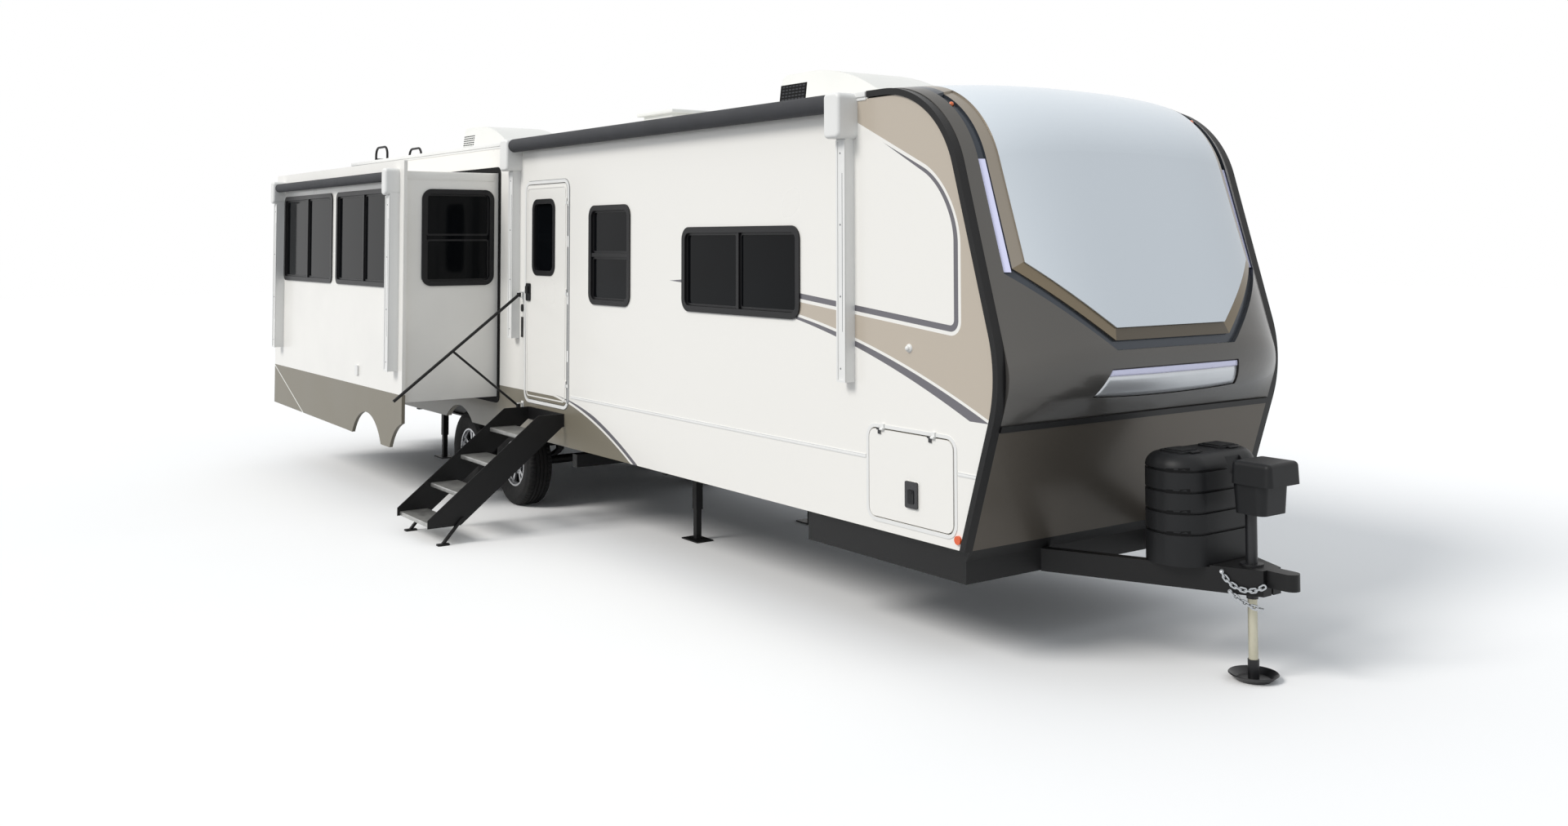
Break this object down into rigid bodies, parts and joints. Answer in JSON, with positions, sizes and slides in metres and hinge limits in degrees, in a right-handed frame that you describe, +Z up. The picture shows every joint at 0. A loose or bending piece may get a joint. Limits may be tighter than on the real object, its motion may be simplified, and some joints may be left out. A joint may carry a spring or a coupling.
{
  "type": "travel trailer",
  "caption": "Long tandem-axle bumper-pull travel trailer with slide-out rooms run out, folding entry steps, roof units, awnings and a tongue jack.",
  "frame": {"origin": "centre of the coupler's ball socket, 550 mm above the ground", "axes": "+X forwards to the tow vehicle, +Y to the road side (left), +Z up; the entry door is on -Y"},
  "size_m": [11.5089, 4.501, 3.6003],
  "materials": {
    "body_white": "gloss laminated fibreglass skin",
    "cap_paint": "metallic automotive paint on a moulded cap",
    "front_paint": "metallic paint",
    "roof_membrane": "matt roof membrane",
    "black_trim": "satin black edging",
    "frame_black": "semi-gloss black chassis paint",
    "window_black": "satin black window frames",
    "tinted_glass": "dark tinted safety glass",
    "skirt_olive": "olive taupe paint",
    "zinc": "zinc plated steel",
    "tyre_rubber": "black tread rubber",
    "alloy": "machined and dark painted alloy",
    "awning_fabric": "charcoal rolled fabric",
    "awning_white": "white powder coat",
    "tread_metal": "aluminium treads with black grip",
    "cover_black": "moulded black plastic",
    "unit_white": "white moulded plastic",
    "lamp_plastic": "coloured lamp lens",
    "floor_wood": "sealed plywood deck",
    "glide_plastic": "low friction strips"
  },
  "bodies": {
    "trailer": {"wall_right": "body_white", "wall_left": "body_white", "edge_trim": "black_trim", "front_cap": "cap_paint", "front_panel": "front_paint", "roof": "roof_membrane", "wall_rear": "body_white", "floor_deck": "floor_wood", "bedroom_platform": "floor_wood", "storage_pan": "frame_black", "window_frames": "window_black", "window_glass": "tinted_glass", "door_frame": "awning_white", "hinges": "awning_white", "slide_guides": "glide_plastic", "axles": "frame_black", "chassis_frame": "frame_black", "underbelly": "black_trim", "tongue_arms": "frame_black", "coupler": "frame_black", "safety_chains": "zinc", "jack_post": "zinc", "jack_head": "cover_black", "gas_cover": "cover_black", "stabilisers": "frame_black", "bumper": "frame_black", "step_frame": "frame_black", "step_treads": "tread_metal", "awning_arms": "awning_white", "awning_roll": "awning_fabric", "air_conditioners": "unit_white", "roof_vents": "unit_white", "ladder": "frame_black", "lamps": "lamp_plastic"},
    "wheel_right_front": {"tyre_right_front": "tyre_rubber", "rim_right_front": "alloy"},
    "wheel_right_rear": {"tyre_right_rear": "tyre_rubber", "rim_right_rear": "alloy"},
    "wheel_left_front": {"tyre_left_front": "tyre_rubber", "rim_left_front": "alloy"},
    "wheel_left_rear": {"tyre_left_rear": "tyre_rubber", "rim_left_rear": "alloy"},
    "entry_door_leaf": {"entry_door": "body_white", "entry_door_trim": "window_black", "entry_door_glass": "tinted_glass"},
    "baggage_leaf_right": {"baggage_door_right": "body_white"},
    "baggage_leaf_left": {"baggage_door_left": "body_white"},
    "slide_out_right": {"slide_box_right": "body_white", "slide_face_right": "body_white", "slide_skirt_right": "skirt_olive", "slide_windows_right": "window_black", "slide_glass_right": "tinted_glass", "topper_arms": "awning_white", "topper_roll": "awning_fabric"},
    "slide_out_left": {"slide_box_left": "body_white", "slide_face_left": "body_white", "slide_skirt_left": "skirt_olive", "slide_windows_left": "window_black", "slide_glass_left": "tinted_glass"},
    "handrail_arm": {"handrail": "frame_black"}
  },
  "joints": [
    {"name": "wheel_right_front_spin", "type": "hinge", "parent": "trailer", "child": "wheel_right_front", "pos_m": [-7.09, -1.02, -0.183], "axis": [0, 1, 0], "continuous": true},
    {"name": "wheel_right_rear_spin", "type": "hinge", "parent": "trailer", "child": "wheel_right_rear", "pos_m": [-8.09, -1.02, -0.183], "axis": [0, 1, 0], "continuous": true},
    {"name": "wheel_left_front_spin", "type": "hinge", "parent": "trailer", "child": "wheel_left_front", "pos_m": [-7.09, 1.02, -0.183], "axis": [0, 1, 0], "continuous": true},
    {"name": "wheel_left_rear_spin", "type": "hinge", "parent": "trailer", "child": "wheel_left_rear", "pos_m": [-8.09, 1.02, -0.183], "axis": [0, 1, 0], "continuous": true},
    {"name": "entry_door_hinge", "type": "hinge", "parent": "trailer", "child": "entry_door_leaf", "pos_m": [-5.8625, -1.236, 1.364], "axis": [0, 0, 1], "range_deg": [0, 168]},
    {"name": "baggage_right_hinge", "type": "hinge", "parent": "trailer", "child": "baggage_leaf_right", "pos_m": [-1.609, -1.236, 0.7035], "axis": [-1, 0, 0], "range_deg": [0, 100]},
    {"name": "baggage_left_hinge", "type": "hinge", "parent": "trailer", "child": "baggage_leaf_left", "pos_m": [-1.609, 1.236, 0.7035], "axis": [1, 0, 0], "range_deg": [0, 100]},
    {"name": "slide_right_travel", "type": "slide", "parent": "trailer", "child": "slide_out_right", "axis": [0, 1, 0], "range_m": [0, 0.859]},
    {"name": "slide_left_travel", "type": "slide", "parent": "trailer", "child": "slide_out_left", "axis": [0, -1, 0], "range_m": [0, 0.859]},
    {"name": "handrail_pivot", "type": "hinge", "parent": "trailer", "child": "handrail_arm", "pos_m": [-6.7, -1.262, 0.854], "axis": [0, 0, 1], "range_deg": [0, 80]}
  ]
}
